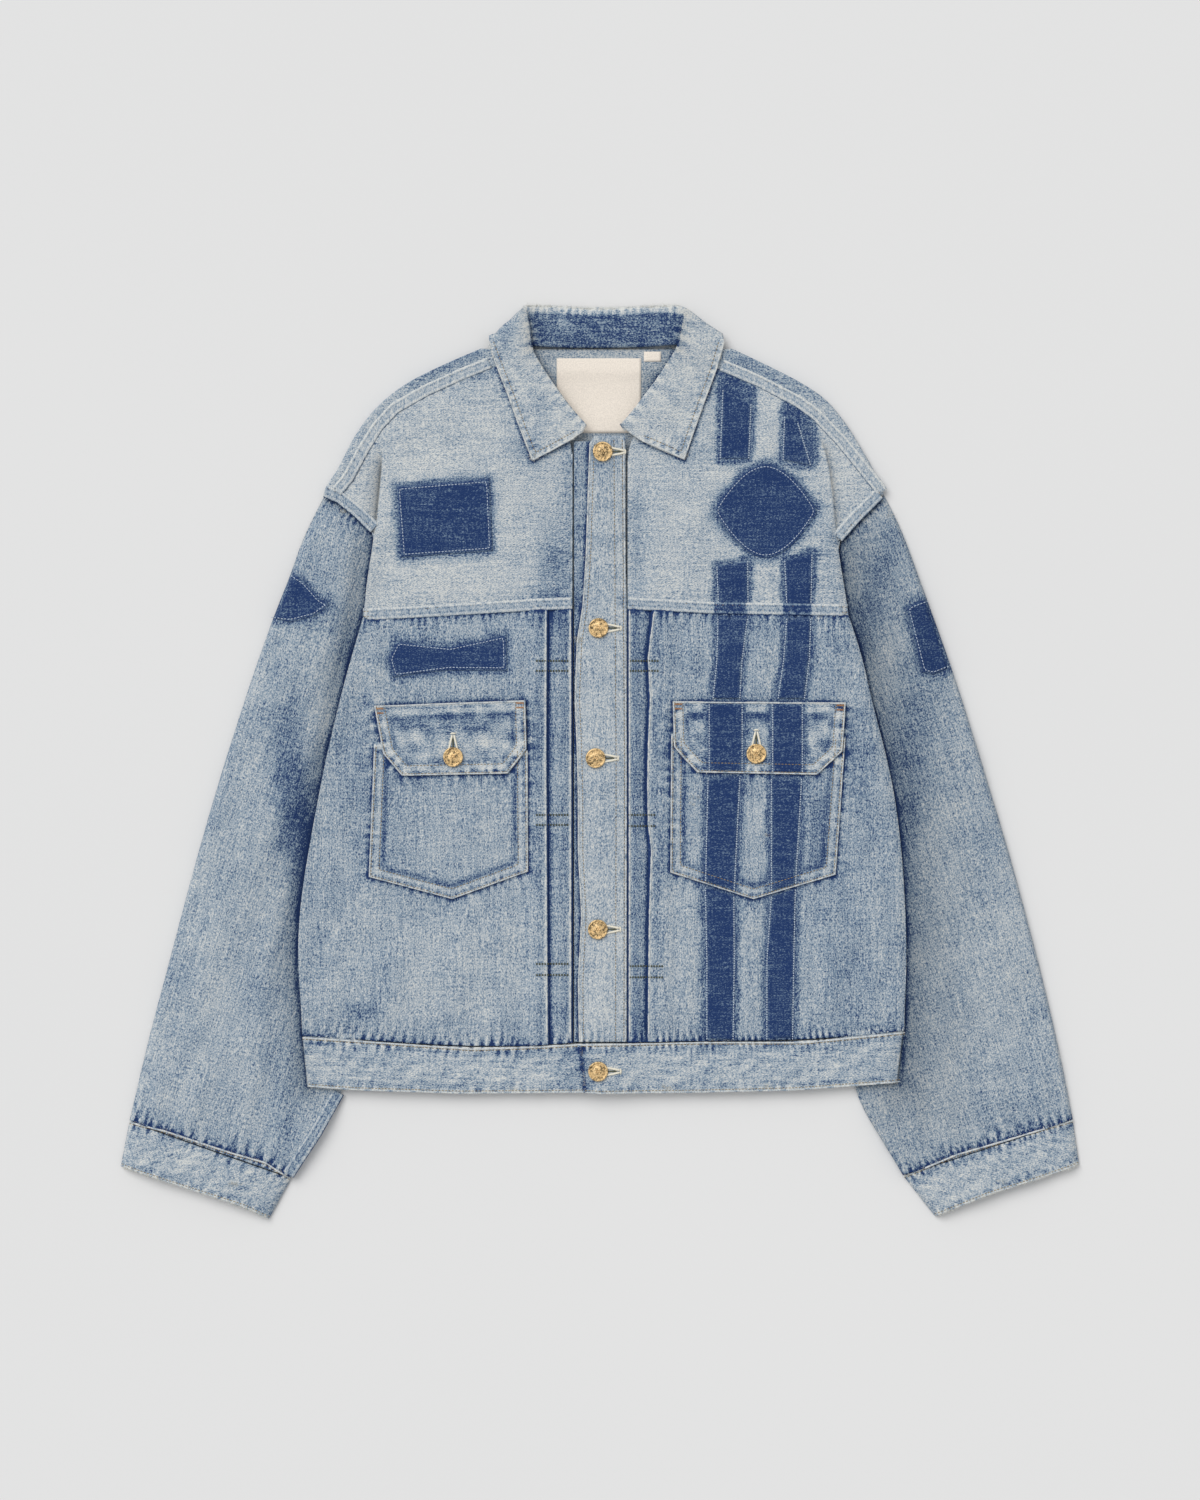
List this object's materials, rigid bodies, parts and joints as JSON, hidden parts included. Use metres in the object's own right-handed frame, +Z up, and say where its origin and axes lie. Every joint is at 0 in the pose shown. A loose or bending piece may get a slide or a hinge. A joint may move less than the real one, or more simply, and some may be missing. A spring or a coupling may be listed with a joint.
{
  "type": "patched boro denim jacket, laid flat",
  "caption": "Boxy faded denim trucker jacket laid flat and buttoned, with pleated fronts, pointed flap pockets and dark indigo boro patches and stripes.",
  "frame": {"origin": "on the surface the jacket lies on, under the middle of its outline", "axes": "+X towards the wearer's left, +Y towards the collar, +Z up from the surface"},
  "size_m": [0.864, 0.8246, 0.014],
  "materials": {
    "denim_body": "washed mid-blue denim twill, faded and slubby",
    "denim_yoke": "palest washed denim, faded almost grey",
    "denim_sleeve": "washed grey-blue denim",
    "denim_band": "washed denim worn white on its edges",
    "denim_collar": "washed denim, darker indigo on the stand",
    "denim_indigo": "dark unwashed indigo cloth",
    "label_cloth": "plain cream cotton tape",
    "button_brass": "antique brass, mottled"
  },
  "bodies": {
    "root": {"front_panel_right": "denim_body", "front_yoke_right": "denim_yoke", "sleeve_right": "denim_sleeve", "cuff_right": "denim_band", "sleeve_patch_right": "denim_indigo", "pocket_right": "denim_body", "flap_right": "denim_yoke", "button_flap_right": "button_brass", "placket_right": "denim_body", "front_panel_left": "denim_body", "front_yoke_left": "denim_yoke", "sleeve_left": "denim_sleeve", "cuff_left": "denim_band", "sleeve_patch_left": "denim_indigo", "pocket_left": "denim_body", "flap_left": "denim_yoke", "button_flap_left": "button_brass", "placket_left": "denim_band", "back_panel": "denim_body", "back_yoke": "denim_yoke", "waistband": "denim_band", "collar": "denim_collar", "label": "label_cloth", "size_tab": "label_cloth", "button_waist": "button_brass", "patch_rectangle": "denim_indigo", "patch_waisted": "denim_indigo", "patch_oval": "denim_indigo", "button_front_1": "button_brass", "button_front_2": "button_brass", "button_front_3": "button_brass", "button_front_4": "button_brass", "stripe_inner_shoulder": "denim_indigo", "stripe_outer_shoulder": "denim_indigo", "stripe_inner_yoke": "denim_indigo", "stripe_outer_yoke": "denim_indigo", "stripe_inner_chest": "denim_indigo", "stripe_outer_chest": "denim_indigo", "stripe_inner_flap": "denim_indigo", "stripe_outer_flap": "denim_indigo", "stripe_inner_pocket": "denim_indigo", "stripe_outer_pocket": "denim_indigo", "stripe_inner_hem": "denim_indigo", "stripe_outer_hem": "denim_indigo"}
  },
  "joints": []
}
